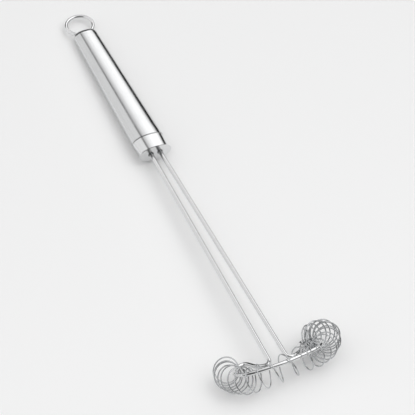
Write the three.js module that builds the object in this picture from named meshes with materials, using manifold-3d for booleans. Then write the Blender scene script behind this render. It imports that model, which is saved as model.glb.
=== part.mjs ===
// A spiral whisk lying on a table: a hollow oval steel handle with a hanging ring, one bent frame
// wire that makes the shank and the head, and a loose coil spring threaded on the head.
// Sizes are in millimetres. +X runs along the tool towards the head, +Y across it and +Z up.
// The tool is modelled with its shank along X and its origin in the middle of the handle's front
// face, and the whole is then laid down on the tail of the handle and the bottom of the spring.

import * as THREE from "three";
import { mergeVertices } from "three/addons/utils/BufferGeometryUtils.js";
import Module from "manifold-3d";

// Clearance between two pieces that seat in each other
const SEAT_GAP = 0.3;

// Handle: an oval tube that tapers towards its closed tail
const HANDLE_LENGTH = 97;
const FRONT_WIDTH = 17.4;
const FRONT_THICKNESS = 9.2;
const TAIL_WIDTH = 12.8;
const TAIL_THICKNESS = 6.3;
const HANDLE_WALL = 0.9;
const OVAL_POWER = 2.2;
const TAIL_ROUND_LENGTH = 3.2;
const TAIL_ROUND_SIDE = 3.6;
const TAIL_ROUND_TOP = 2.1;

// Front cap: a cup with a flat face, whose neck slides into the handle tube
const CAP_LENGTH = 9.6;
const CAP_FACE_THICKNESS = 1.4;
const CAP_WALL = 1.1;
const CAP_EDGE_ROUND = 0.5;
const NECK_LENGTH = 8;

// Plugs inside the handle: the front one grips the wire tails, the tail one holds the ring
const WIRE_PLUG_LENGTH = 14;
const WIRE_PLUG_SETBACK = 0.3;
const TAIL_PLUG_LENGTH = 9;

// Hanging ring, in the wide plane of the handle
const RING_RADIUS = 7.1;
const RING_WIRE = 1.9;
const RING_STANDOUT = 5.4;

// Frame wire: two legs that spread towards the head, and the head's bean-shaped loop
const FRAME_WIRE = 2.2;
const WIRE_TAIL_LENGTH = 18;
const LEG_SPACING_FRONT = 4.9;
const LEG_SPACING_HEAD = 8.7;
const SHANK_LENGTH = 151.2;
const LEG_BEND_RADIUS = 2.6;
const HEAD_TILT = 31;
const HEAD_WIDTH = 46.6;
const LOBE_RADIUS = 6.9;
const LOBE_SETBACK = 5.8;
const FRONT_ADVANCE = 3.2;
const SHOULDER_SPACING = 15.2;
const SHOULDER_SETBACK = 1.1;
const HEAD_SHIFT = 1.2;
const HEAD_SKEW = 0.075;
const LOBE_BACK_SWEEP = 4.5;
const SHOULDER_SWEEP = 6;

// Coil spring: wide turns across the front, close turns round both lobes
const SPRING_WIRE = 0.72;
const COIL_RADIUS = 6.35;
const WIDE_PITCH = 9.2;
const CLOSE_PITCH = 2.7;
const INNER_SPACING = 1.4;
const WIDE_MIDDLE = -0.8;
const WIDE_STRETCH_LEFT = 21.7;
const WIDE_STRETCH_RIGHT = 24;
const TURN_LEAN = 21;
const LEAN_MIDDLE = -8;
const LEAN_REACH = 7;
const COIL_PLAY = 4.1;
const BACK_LIFT = 3.4;
const FRONT_SAG = 2.6;
const PUSH_START = 7.9;
const PUSH_FULL = 17.7;
const LEFT_END_SETBACK = 10;
const RIGHT_END_REACH = 15;
const TURN_PHASE = -0.21;

// Facet counts
const OVAL_SIDES = 48;
const WIRE_SIDES = 10;
const RING_STEPS = 44;
const ROUND_STEPS = 5;
const STEPS_PER_TURN = 8;
const SPRING_SIDES = 5;
const PATH_STEP = 0.25;

const headTilt = THREE.MathUtils.degToRad(HEAD_TILT);

const wasm = await Module();
wasm.setup();

// Materials

const brushedSteel = new THREE.MeshStandardMaterial({ color: 0xc4c6c8, metalness: 1, roughness: 0.42 });
const polishedSteel = new THREE.MeshStandardMaterial({ color: 0xd6d8da, metalness: 1, roughness: 0.16 });
const frameSteel = new THREE.MeshStandardMaterial({ color: 0xd2d4d6, metalness: 1, roughness: 0.14 });
const springSteel = new THREE.MeshStandardMaterial({ color: 0xbfc1c4, metalness: 1, roughness: 0.2 });
const plugPlastic = new THREE.MeshStandardMaterial({ color: 0x3b3d40, metalness: 0, roughness: 0.6 });

// Solids

// A closed skin over rings of points, each ring running the same way round. Both ends are filled
// from the middle of their ring.
function skin(rings) {
  const sides = rings[0].length;
  const points = rings.flat();
  const faces = [];
  for (let i = 0; i + 1 < rings.length; i++) {
    for (let j = 0; j < sides; j++) {
      const a = i * sides + j;
      const b = i * sides + ((j + 1) % sides);
      faces.push(a, b, b + sides, a, b + sides, a + sides);
    }
  }
  const middle = (ring) =>
    ring.reduce((sum, p) => sum.add(p), new THREE.Vector3()).divideScalar(sides);
  const last = (rings.length - 1) * sides;
  points.push(middle(rings[0]), middle(rings[rings.length - 1]));
  for (let j = 0; j < sides; j++) {
    const k = (j + 1) % sides;
    faces.push(points.length - 2, k, j);
    faces.push(points.length - 1, last + j, last + k);
  }
  const geometry = new THREE.BufferGeometry().setFromPoints(points);
  geometry.setIndex(faces);
  geometry.computeVertexNormals();
  return geometry;
}

// An oval ring of points across X, flatter than an ellipse by OVAL_POWER. It runs round -X, so
// that rings listed from the front to the tail face outwards.
function oval(x, halfWidth, halfThickness) {
  const squash = (value) => Math.sign(value) * Math.abs(value) ** (2 / OVAL_POWER);
  return Array.from({ length: OVAL_SIDES }, (_, i) => {
    const angle = (2 * Math.PI * i) / OVAL_SIDES;
    return new THREE.Vector3(
      x,
      halfWidth * squash(Math.cos(angle)),
      -halfThickness * squash(Math.sin(angle)),
    );
  });
}

// A round bar along a path of points, with flat ends. Each section is turned from the one before
// by the bend of the path alone, so the bar doesn't twist.
function bar(path, diameter, sides) {
  const tangents = path.map((_, i) =>
    path[Math.min(i + 1, path.length - 1)].clone().sub(path[Math.max(i - 1, 0)]).normalize(),
  );
  const side = new THREE.Vector3(0.3, 0.5, 0.81).cross(tangents[0]).normalize();
  const rings = path.map((centre, i) => {
    if (i > 0) {
      side.applyQuaternion(new THREE.Quaternion().setFromUnitVectors(tangents[i - 1], tangents[i]));
    }
    const other = tangents[i].clone().cross(side);
    return Array.from({ length: sides }, (_, j) => {
      const angle = (2 * Math.PI * j) / sides;
      return centre
        .clone()
        .addScaledVector(side, (diameter / 2) * Math.cos(angle))
        .addScaledVector(other, (diameter / 2) * Math.sin(angle));
    });
  });
  return skin(rings);
}

function toSolid(geometry) {
  const bare = geometry.clone();
  bare.deleteAttribute("normal");
  bare.deleteAttribute("uv");
  const merged = mergeVertices(bare, 1e-4);
  return new wasm.Manifold(
    new wasm.Mesh({
      numProp: 3,
      vertProperties: Float32Array.from(merged.attributes.position.array),
      triVerts: Uint32Array.from(merged.index.array),
    }),
  );
}

function toGeometry(solid) {
  const mesh = solid.getMesh();
  const geometry = new THREE.BufferGeometry();
  geometry.setAttribute("position", new THREE.BufferAttribute(mesh.vertProperties, 3));
  geometry.setIndex(new THREE.BufferAttribute(mesh.triVerts, 1));
  geometry.computeVertexNormals();
  return geometry;
}

// The geometry with every tool geometry cut out of it.
function cut(geometry, tools) {
  return toGeometry(tools.reduce((solid, tool) => solid.subtract(toSolid(tool)), toSolid(geometry)));
}

// Handle

// Half the handle's width and thickness at a distance behind the front face.
function handleSize(back) {
  const share = back / HANDLE_LENGTH;
  return [
    THREE.MathUtils.lerp(FRONT_WIDTH, TAIL_WIDTH, share) / 2,
    THREE.MathUtils.lerp(FRONT_THICKNESS, TAIL_THICKNESS, share) / 2,
  ];
}

// An oval ring of the handle's taper, drawn in by an inset all round.
function handleOval(back, inset) {
  const [halfWidth, halfThickness] = handleSize(back);
  return oval(-back, halfWidth - inset, halfThickness - inset);
}

// The rounded tail as rings from its start to its flat end, drawn in by an inset.
function tailRings(inset) {
  const start = HANDLE_LENGTH - TAIL_ROUND_LENGTH;
  const [halfWidth, halfThickness] = handleSize(start);
  return Array.from({ length: ROUND_STEPS + 1 }, (_, i) => {
    const angle = (Math.PI / 2) * (i / ROUND_STEPS);
    const drawnIn = 1 - Math.cos(angle);
    return oval(
      -start - (TAIL_ROUND_LENGTH - inset) * Math.sin(angle),
      halfWidth - inset - TAIL_ROUND_SIDE * drawnIn,
      halfThickness - inset - TAIL_ROUND_TOP * drawnIn,
    );
  });
}

const ringCentre = new THREE.Vector3(-HANDLE_LENGTH - RING_STANDOUT, 0, 0);

function ringGeometry(wire) {
  const geometry = new THREE.TorusGeometry(RING_RADIUS, wire / 2, WIRE_SIDES, RING_STEPS);
  return geometry.translate(ringCentre.x, ringCentre.y, ringCentre.z);
}

const shellFront = CAP_LENGTH + SEAT_GAP;

function handleShell() {
  const outside = [handleOval(shellFront, 0), ...tailRings(0)];
  const inside = [handleOval(shellFront, HANDLE_WALL), ...tailRings(HANDLE_WALL)];
  return cut(skin([...inside.reverse(), ...outside]), [ringGeometry(RING_WIRE + 2 * SEAT_GAP)]);
}

// Middle of a leg of the frame wire at a distance ahead of the front face.
function legPoint(side, ahead) {
  const spacing = THREE.MathUtils.lerp(LEG_SPACING_FRONT, LEG_SPACING_HEAD, ahead / SHANK_LENGTH);
  return new THREE.Vector3(ahead, (side * spacing) / 2, 0);
}

// Bars along both wire tails, wide enough for a bore that the wire passes through.
function wireBores() {
  const reach = WIRE_TAIL_LENGTH + WIRE_PLUG_LENGTH;
  return [-1, 1].map((side) =>
    bar([legPoint(side, -reach), legPoint(side, reach)], FRAME_WIRE + 2 * SEAT_GAP, WIRE_SIDES),
  );
}

function frontCap() {
  const rounded = Array.from({ length: ROUND_STEPS }, (_, i) => {
    const angle = (Math.PI / 2) * (i / (ROUND_STEPS - 1));
    return handleOval(CAP_EDGE_ROUND * (1 - Math.sin(angle)), CAP_EDGE_ROUND * (1 - Math.cos(angle)));
  });
  const neckInset = HANDLE_WALL + SEAT_GAP;
  const neckEnd = CAP_LENGTH + NECK_LENGTH;
  const rings = [
    handleOval(CAP_FACE_THICKNESS, neckInset + CAP_WALL),
    handleOval(neckEnd, neckInset + CAP_WALL),
    handleOval(neckEnd, neckInset),
    handleOval(CAP_LENGTH, neckInset),
    handleOval(CAP_LENGTH, 0),
    ...rounded,
  ];
  return cut(skin(rings.reverse()), wireBores());
}

function wirePlug() {
  const inset = HANDLE_WALL + SEAT_GAP + CAP_WALL + SEAT_GAP;
  const front = CAP_FACE_THICKNESS + WIRE_PLUG_SETBACK;
  const block = skin([handleOval(front, inset), handleOval(front + WIRE_PLUG_LENGTH, inset)]);
  return cut(block, wireBores());
}

function tailPlug() {
  const inset = HANDLE_WALL + SEAT_GAP;
  const start = HANDLE_LENGTH - TAIL_ROUND_LENGTH - TAIL_PLUG_LENGTH;
  const block = skin([handleOval(start, inset), ...tailRings(inset)]);
  return cut(block, [ringGeometry(RING_WIRE + 2 * SEAT_GAP)]);
}

// Frame wire

// A point of the head's plane: across the tool and forward from the foot of the legs.
function headPoint(across, forward) {
  return new THREE.Vector3(
    SHANK_LENGTH + forward * Math.cos(headTilt),
    across,
    forward * Math.sin(headTilt),
  );
}

// A point of the head's loop. The loop is a little skewed and shifted across, as bent by hand.
function loopPoint(across, forward) {
  return headPoint(across + HEAD_SHIFT, forward - HEAD_SKEW * across);
}

// Points on an arc of the loop. Angles run from straight ahead towards the outside.
function loopArc(side, across, forward, radius, from, to) {
  const steps = Math.max(4, Math.ceil(Math.abs(to - from) / (Math.PI / 12)));
  return Array.from({ length: steps + 1 }, (_, i) => {
    const angle = THREE.MathUtils.lerp(from, to, i / steps);
    const out = side * (across + radius * Math.sin(angle));
    return loopPoint(out, forward + radius * Math.cos(angle));
  });
}

// The arc of a radius that rounds the corner between two points, from the first one's side.
function roundedCorner(before, corner, after, radius) {
  const toBefore = before.clone().sub(corner).normalize();
  const toAfter = after.clone().sub(corner).normalize();
  const bend = Math.PI - toBefore.angleTo(toAfter);
  const reach = radius * Math.tan(bend / 2);
  const centre = toBefore.clone().add(toAfter).normalize();
  centre.multiplyScalar(radius / Math.cos(bend / 2)).add(corner);
  const start = corner.clone().addScaledVector(toBefore, reach).sub(centre);
  const end = corner.clone().addScaledVector(toAfter, reach).sub(centre);
  const steps = Math.ceil(bend / (Math.PI / 14));
  return Array.from({ length: steps + 1 }, (_, i) => {
    const angle = (bend * i) / steps;
    return start
      .clone()
      .multiplyScalar(Math.sin(bend - angle) / Math.sin(bend))
      .addScaledVector(end, Math.sin(angle) / Math.sin(bend))
      .add(centre);
  });
}

// Half of the frame wire, from the middle of the front arc round the lobe, in to the shoulder and
// down the leg to its tail.
function halfFrame(side) {
  const lobeAcross = HEAD_WIDTH / 2 - LOBE_RADIUS;
  const lobeBack = -LOBE_SETBACK - LOBE_RADIUS;
  const reach = FRONT_ADVANCE - LOBE_RADIUS;
  const frontCentre =
    (lobeAcross ** 2 + LOBE_SETBACK ** 2 - reach ** 2) / (2 * (-LOBE_SETBACK - reach));
  const meet = Math.atan2(lobeAcross, -LOBE_SETBACK - frontCentre);
  const front = loopArc(side, 0, frontCentre, FRONT_ADVANCE - frontCentre, 0, meet);
  const lobe = loopArc(side, lobeAcross, -LOBE_SETBACK, LOBE_RADIUS, meet, Math.PI);
  const corner = legPoint(side, SHANK_LENGTH);
  const shoulder = headPoint((side * SHOULDER_SPACING) / 2, -SHOULDER_SETBACK);
  const outwards = shoulder.clone().sub(corner).normalize();
  const sweep = new THREE.CubicBezierCurve3(
    loopPoint(side * lobeAcross, lobeBack),
    loopPoint(side * (lobeAcross - LOBE_BACK_SWEEP), lobeBack),
    shoulder.clone().addScaledVector(outwards, SHOULDER_SWEEP),
    shoulder,
  ).getPoints(14);
  const tail = legPoint(side, -WIRE_TAIL_LENGTH);
  const leg = [...roundedCorner(shoulder, corner, tail, LEG_BEND_RADIUS), tail];
  return [...front.slice(0, -1), ...lobe.slice(0, -1), ...sweep, ...leg];
}

// The whole frame wire, from the left tail round the head to the right one.
function framePath() {
  return [...halfFrame(-1).reverse(), ...halfFrame(1).slice(1)];
}

// How far behind the foot of the legs the lower of the two lobes reaches.
function lowestBack() {
  return LOBE_SETBACK + LOBE_RADIUS + HEAD_SKEW * (HEAD_WIDTH / 2 - LOBE_RADIUS);
}

// Rest on the table: the rise of the shank that sets the tail of the handle and the spring's
// turns on the same plane, with the turns' middle BACK_LIFT above the back of the lobes.
function restRise() {
  const tailStart = HANDLE_LENGTH - TAIL_ROUND_LENGTH;
  const tailDrop = handleSize(tailStart)[1];
  const lobeBack = lowestBack();
  const run = SHANK_LENGTH + tailStart - lobeBack * Math.cos(headTilt);
  const drop = tailDrop - lobeBack * Math.sin(headTilt);
  const height = COIL_RADIUS + SPRING_WIRE / 2 - BACK_LIFT;
  return Math.asin(height / Math.hypot(run, drop)) - Math.atan2(drop, run);
}

// Coil spring

// The path as a smooth curve, with a point every PATH_STEP.
function smoothed(path) {
  const curve = new THREE.CatmullRomCurve3(path, false, "centripetal");
  curve.arcLengthDivisions = 40 * path.length;
  return curve.getSpacedPoints(Math.round(curve.getLength() / PATH_STEP));
}

// Each value as the mean of those within a reach of it, in number of points.
function averaged(values, reach) {
  return values.map((_, i) => {
    const near = values.slice(Math.max(0, i - reach), i + reach + 1);
    return near.reduce((sum, v) => sum.add(v), new THREE.Vector3()).divideScalar(near.length);
  });
}

function directions(path) {
  return path.map((_, i) =>
    path[Math.min(i + 1, path.length - 1)].clone().sub(path[Math.max(i - 1, 0)]).normalize(),
  );
}

// How far forward of the foot of the legs a point of the head lies, in the head's plane.
function forwardOf(point) {
  return (point.x - SHANK_LENGTH) * Math.cos(headTilt) + point.z * Math.sin(headTilt);
}

// The stretch of the frame wire that the spring is threaded on.
function threadedStretch(path) {
  const onHead = path.findIndex((p) => p.x > SHANK_LENGTH);
  const middle = path.findIndex((p, i) => i > onHead && p.y >= 0 && forwardOf(p) > 0);
  let first = middle;
  while (first > 0 && forwardOf(path[first]) > -LEFT_END_SETBACK) first--;
  let last = middle;
  while (forwardOf(path[last]) > -LOBE_SETBACK || path[last].y > RIGHT_END_REACH) last++;
  return path.slice(first, last + 1);
}

// The middle line of the coil. Its turns lie on the table where they can and are pushed out
// round the lobes, as far as the play of a turn on the wire lets them.
function coilLine(wire, up) {
  const restHeight = headPoint(0, -lowestBack()).dot(up) + BACK_LIFT;
  const along = directions(wire);
  const offsets = wire.map((p, i) => {
    const upward = up.clone().addScaledVector(along[i], -along[i].dot(up)).normalize();
    const outward = along[i].clone().cross(upward);
    const wanted = (restHeight - p.dot(up)) / upward.dot(up);
    const push = THREE.MathUtils.smoothstep(Math.abs(p.y), PUSH_START, PUSH_FULL);
    const sag = THREE.MathUtils.lerp(COIL_PLAY, FRONT_SAG, push);
    const lift = THREE.MathUtils.clamp(wanted, -sag, COIL_PLAY);
    return upward
      .multiplyScalar(lift)
      .addScaledVector(outward, push * Math.sqrt(COIL_PLAY ** 2 - lift ** 2));
  });
  return averaged(offsets, 6).map((offset, i) => offset.add(wire[i]));
}

// The spring's own middle line, with STEPS_PER_TURN points to a turn and straight ends. The turns
// are spaced by the pitch along the coil, and by no less than INNER_SPACING on the inside of a bend.
function springPath(frame, rise) {
  const up = new THREE.Vector3(-Math.sin(rise), 0, Math.cos(rise));
  const wire = threadedStretch(frame);
  const line = coilLine(wire, up);
  const along = averaged(directions(line), 6).map((direction) => direction.normalize());
  const inwards = along.map((direction) => up.clone().cross(direction).normalize());
  const inside = line.map((p, i) => p.clone().addScaledVector(inwards[i], COIL_RADIUS));
  const middle = wire.findIndex((p) => p.y >= WIDE_MIDDLE && forwardOf(p) > 0);
  const distance = [0];
  for (let i = 1; i < line.length; i++) distance.push(distance[i - 1] + line[i].distanceTo(line[i - 1]));
  const turns = [0];
  for (let i = 1; i < line.length; i++) {
    const away = Math.abs(distance[i] - distance[middle]);
    const stretch = i < middle ? WIDE_STRETCH_LEFT : WIDE_STRETCH_RIGHT;
    const share = THREE.MathUtils.smoothstep(away, 0, stretch);
    const pitch = THREE.MathUtils.lerp(WIDE_PITCH, CLOSE_PITCH, share);
    const byPitch = (distance[i] - distance[i - 1]) / pitch;
    const bySpacing = inside[i].distanceTo(inside[i - 1]) / INNER_SPACING;
    turns.push(turns[i - 1] + Math.min(byPitch, bySpacing));
  }
  const phase = turns.map((turn) => turn - turns[middle] + TURN_PHASE);
  const points = [];
  let next = Math.ceil(phase[0] * STEPS_PER_TURN);
  for (let i = 1; i < line.length; i++) {
    while (phase[i] * STEPS_PER_TURN >= next) {
      const angle = (2 * Math.PI * next) / STEPS_PER_TURN;
      const share = (next / STEPS_PER_TURN - phase[i - 1]) / (phase[i] - phase[i - 1]);
      const lean =
        THREE.MathUtils.degToRad(TURN_LEAN) *
        Math.exp(-(((wire[i].y - LEAN_MIDDLE) / LEAN_REACH) ** 2));
      const upwards = along[i].clone().cross(inwards[i]);
      points.push(
        line[i - 1]
          .clone()
          .lerp(line[i], share)
          .addScaledVector(upwards, COIL_RADIUS * Math.cos(angle))
          .addScaledVector(inwards[i], -COIL_RADIUS * Math.sin(angle))
          .addScaledVector(along[i], -COIL_RADIUS * Math.sin(angle) * Math.tan(lean)),
      );
      next++;
    }
  }
  return straightEnds(points);
}

// The path with both ends run on straight by one wire diameter.
function straightEnds(path) {
  const runOn = (end, before) =>
    end.clone().addScaledVector(end.clone().sub(before).normalize(), SPRING_WIRE);
  const last = path.length - 1;
  return [runOn(path[0], path[1]), ...path, runOn(path[last], path[last - 1])];
}

// The least gap between two stretches of the spring that lie at least half a turn apart.
function leastSelfGap(path) {
  const finer = 4;
  const points = [];
  for (let i = 0; i + 1 < path.length; i++) {
    for (let k = 0; k < finer; k++) points.push(path[i].clone().lerp(path[i + 1], k / finer));
  }
  const apart = (STEPS_PER_TURN / 2) * finer;
  let least = Infinity;
  for (let i = 0; i < points.length; i++) {
    for (let j = i + apart; j < points.length; j++) {
      least = Math.min(least, points[i].distanceTo(points[j]));
    }
  }
  return least - SPRING_WIRE;
}

// Assembly

function mesh(name, geometry, material) {
  const piece = new THREE.Mesh(geometry, material);
  piece.name = name;
  return piece;
}

const rise = restRise();
const frame = framePath();
const spring = springPath(smoothed(frame), rise);
console.log("spring turns: " + ((spring.length - 3) / STEPS_PER_TURN).toFixed(1));
console.log("least gap of the spring to itself: " + leastSelfGap(spring).toFixed(2) + " mm");

const handle = new THREE.Group();
handle.add(
  mesh("handle_shell", handleShell(), brushedSteel),
  mesh("front_cap", frontCap(), polishedSteel),
  mesh("wire_plug", wirePlug(), plugPlastic),
  mesh("tail_plug", tailPlug(), plugPlastic),
  mesh("hanging_ring", ringGeometry(RING_WIRE), polishedSteel),
);

const head = new THREE.Group();
head.add(
  mesh("whisk_frame", bar(frame, FRAME_WIRE, WIRE_SIDES), frameSteel),
  mesh("whisk_spring", bar(spring, SPRING_WIRE, SPRING_SIDES), springSteel),
);

const tool = new THREE.Group();
tool.add(handle, head);
tool.rotation.y = -rise;

// The origin goes to the middle of the bottom of the whole tool as it lies.
const whisk = new THREE.Group();
whisk.add(tool);
whisk.updateMatrixWorld(true);
const extent = new THREE.Box3().setFromObject(whisk, true);
const centre = extent.getCenter(new THREE.Vector3());
tool.position.set(-centre.x, -centre.y, -extent.min.z);

export default whisk;
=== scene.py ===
# A spiral whisk in steel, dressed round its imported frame.
# The script is laid out as an add-on and is run as a script. Lengths are in metres. +X runs along
# the tool towards the head, +Y across it and +Z up. The tool frame has its origin in the middle of
# the handle's front face and its X along the shank. tool_matrix() turns it into the part's frame.

import math

import bpy
from bpy.props import FloatProperty, FloatVectorProperty, IntProperty, PointerProperty
from mathutils import Matrix, Vector


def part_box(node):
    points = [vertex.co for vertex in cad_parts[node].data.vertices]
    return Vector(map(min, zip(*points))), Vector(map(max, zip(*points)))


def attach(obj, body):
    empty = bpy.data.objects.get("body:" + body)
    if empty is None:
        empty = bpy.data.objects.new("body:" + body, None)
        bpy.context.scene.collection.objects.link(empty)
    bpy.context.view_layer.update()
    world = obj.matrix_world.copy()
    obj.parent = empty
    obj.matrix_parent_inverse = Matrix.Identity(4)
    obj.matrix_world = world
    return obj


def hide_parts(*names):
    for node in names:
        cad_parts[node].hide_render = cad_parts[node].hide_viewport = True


bl_info = {
    "name": "Spiral whisk",
    "version": (1, 0, 0),
    "blender": (4, 5, 0),
    "location": "3D View > Sidebar > Whisk",
    "description": "A spiral whisk with a steel handle, a bent frame wire and a coil spring",
    "category": "Object",
}

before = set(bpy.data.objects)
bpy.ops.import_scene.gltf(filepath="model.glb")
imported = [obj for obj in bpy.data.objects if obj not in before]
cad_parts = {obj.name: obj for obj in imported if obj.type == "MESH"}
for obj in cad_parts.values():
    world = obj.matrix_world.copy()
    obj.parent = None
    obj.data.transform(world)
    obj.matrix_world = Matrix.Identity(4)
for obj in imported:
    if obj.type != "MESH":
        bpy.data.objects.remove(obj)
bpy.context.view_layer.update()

MM = 0.001

# An edge between two faces that meet at more than this angle is kept sharp
SHARP_EDGE = math.radians(40)


# Settings


def length(name, description, millimetres):
    return FloatProperty(
        name=name, description=description, default=millimetres * MM, unit="LENGTH", precision=5
    )


def turn(name, description, degrees):
    return FloatProperty(
        name=name, description=description, default=math.radians(degrees), unit="ROTATION"
    )


def share(name, description, default):
    return FloatProperty(name=name, description=description, default=default, subtype="FACTOR")


def colour(name, description, default):
    return FloatVectorProperty(
        name=name, description=description, default=default, size=3, subtype="COLOR", min=0, max=1
    )


class WhiskHandleSizes(bpy.types.PropertyGroup):
    length: length("Length", "Front face to the end of the tail", 97)
    front_width: length("Front width", "Width at the front face", 17.4)
    front_thickness: length("Front thickness", "Thickness at the front face", 9.2)
    tail_width: length("Tail width", "Width at the tail", 12.8)
    tail_thickness: length("Tail thickness", "Thickness at the tail", 6.3)
    oval_power: FloatProperty(
        name="Oval power", description="2 is an ellipse and more is flatter", default=2.2
    )
    wall: length("Wall", "Thickness of the tube's steel", 0.9)
    tail_round_length: length("Tail rounding length", "Length of the rounded tail", 3.2)
    tail_round_side: length("Tail rounding side", "How far the sides draw in at the tail", 3.6)
    tail_round_top: length("Tail rounding top", "How far the top draws in at the tail", 2.1)
    cap_length: length("Cap length", "Front face to the seam of the cap", 9.6)
    cap_face: length("Cap face", "Thickness of the cap's flat face", 1.4)
    cap_wall: length("Cap wall", "Thickness of the cap's wall", 1.1)
    cap_edge: length("Cap edge", "Rounding of the cap's front edge", 0.85)
    neck: length("Neck", "Length of the neck that slides into the tube", 8)
    seam: length("Seam", "Gap between the cap and the tube", 0.3)
    lip: length("Lip", "Rounding of the edges at the seam", 0.16)
    hole_gap: length("Hole gap", "Gap round the ring in its holes", 0.14)
    wire_gap: length("Wire gap", "Gap round each leg where it leaves the cap", 0.4)


class WhiskRingSizes(bpy.types.PropertyGroup):
    radius: length("Radius", "Middle of the ring to the middle of its wire", 7.1)
    wire: length("Wire", "Diameter of the ring's wire", 1.9)
    standout: length("Stand-out", "End of the tail to the middle of the ring", 5.4)


class WhiskFrameWireSizes(bpy.types.PropertyGroup):
    wire: length("Wire", "Diameter of the frame wire", 2.2)
    tail: length("Wire tail", "Length of wire inside the handle", 18)
    spacing_front: length("Leg spacing, front", "Between the legs at the handle", 4.9)
    spacing_head: length("Leg spacing, head", "Between the legs at the head", 8.7)
    shank: length("Shank", "Front face to the foot of the legs", 151.2)
    leg_bend: length("Leg bend", "Radius of the bend at the foot of a leg", 2.6)
    head_tilt: turn("Head tilt", "Rise of the head's plane over the shank", 31)
    head_width: length("Head width", "Across both lobes", 46.6)
    lobe_radius: length("Lobe radius", "Radius of a lobe", 6.9)
    lobe_setback: length("Lobe setback", "Middle of a lobe behind the foot of the legs", 5.8)
    front_advance: length("Front advance", "Middle of the front ahead of the foot", 3.2)
    shoulder_spacing: length("Shoulder spacing", "Between both shoulders", 15.2)
    shoulder_setback: length("Shoulder setback", "Shoulders behind the foot", 1.1)
    head_shift: length("Head shift", "How far the loop sits off the middle", 1.2)
    head_skew: share("Head skew", "How far the loop is skewed", 0.075)
    back_sweep: length("Back sweep", "Reach of the curve behind a lobe", 4.5)
    shoulder_sweep: length("Shoulder sweep", "Reach of the curve at a shoulder", 6)


class WhiskSpringSizes(bpy.types.PropertyGroup):
    wire: length("Wire", "Diameter of the spring wire", 0.66)
    radius: length("Coil radius", "Middle of the coil to the middle of its wire", 6.35)
    left_end: length("Left end", "Left end of the spring, along the wire from its middle", 30.7)
    right_end: length("Right end", "Right end of the spring, along the wire", 45.1)
    wide_pitch: length("Wide pitch", "Between turns in the middle of the front", 9.68)
    wide_reach: length("Wide reach", "How far the widest pitch reaches", 0.7)
    close_left: length("Close pitch, left", "Between turns round the left lobe", 3.2)
    close_right: length("Close pitch, right", "Between turns round the right lobe", 2.73)
    stretch_left: length("Stretch, left", "Where the close pitch starts on the left", 29.7)
    stretch_right: length("Stretch, right", "Where the close pitch starts on the right", 27.9)
    phase: share("Phase", "Share of a turn at the middle of the front", -0.39)
    nesting: length("Nesting", "How far every other close turn lies inside its neighbours", 0.3)
    nesting_start: length("Nesting start", "Where the turns start to nest", 10)
    nesting_full: length("Nesting full", "Where the turns nest fully", 16)
    play: length("Play", "How far a turn can move on the wire", 4.75)
    most_lift: length("Most lift", "Highest that a turn rides over the wire", 4.6)
    top: length("Top", "Height that the turns stay under, from the front face's middle", 0.1)
    back_lift: length("Back lift", "Coil's middle over the back of the lobes", 3.4)
    change_left: length("Change, left", "Where the front turns start to change, on the left", -8)
    change_right: length("Change, right", "Where they start to change on the right", -0.9)
    full_left: length("Full, left", "Where the turns hang as on the left lobe", 30)
    full_right: length("Full, right", "Where the turns hang as on the right lobe", 28.6)
    end_start: length("End start", "Where the turns behind the right lobe start", 28.2)
    end_full: length("End full", "Where they hang as at the right end", 39.8)
    push: length("Push, front", "Forward shift of the front turns on the wire", -1.1)
    push_left: length("Push, left", "Outward shift of the turns on the left lobe", 3.8)
    push_right: length("Push, right", "Outward shift of the turns on the right lobe", 2.9)
    push_end: length("Push, end", "Outward shift of the turns at the right end", -4.5)
    lift: length("Lift, front", "Upward shift of the front turns", -4.7)
    lift_left: length("Lift, left", "Upward shift of the turns on the left lobe", 0.2)
    lift_right: length("Lift, right", "Upward shift of the turns on the right lobe", 3.5)
    lift_end: length("Lift, end", "Upward shift of the turns at the right end", 0.7)
    lead_left: turn("Lead, left", "How far the left turns are turned ahead of the wire", 35.4)
    lead_right: turn("Lead, right", "How far the right turns are turned ahead of it", -7.2)
    tilt: turn("Tilt, front", "Tilt of the front turns", 8.4)
    tilt_left: turn("Tilt, left", "Added tilt of the left turns", 16.1)
    tilt_right: turn("Tilt, right", "Added tilt of the right turns", -31.1)
    follow_left: share("Follow, left", "How much of the wire's own tilt the left turns add", -0.14)
    follow_right: share("Follow, right", "How much of it the right turns add", -0.25)
    last_turn: turn("Last turn", "Most that a turn's plane is turned from the front", 156.5)
    steps: IntProperty(name="Steps", description="Points on each turn", default=36)
    sides: IntProperty(name="Sides", description="Sides of the spring wire", default=10)


class WhiskFinishes(bpy.types.PropertyGroup):
    satin: colour("Satin steel", "Brushed steel of the handle", (0.72, 0.725, 0.73))
    polished: colour("Polished steel", "Steel of the cap and the ring", (0.80, 0.805, 0.81))
    drawn: colour("Drawn steel", "Steel of the frame wire", (0.76, 0.765, 0.77))
    spring: colour("Spring steel", "Steel of the coil spring", (0.62, 0.63, 0.64))
    plug: colour("Plug plastic", "Plastic inside the handle", (0.05, 0.052, 0.055))


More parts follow.
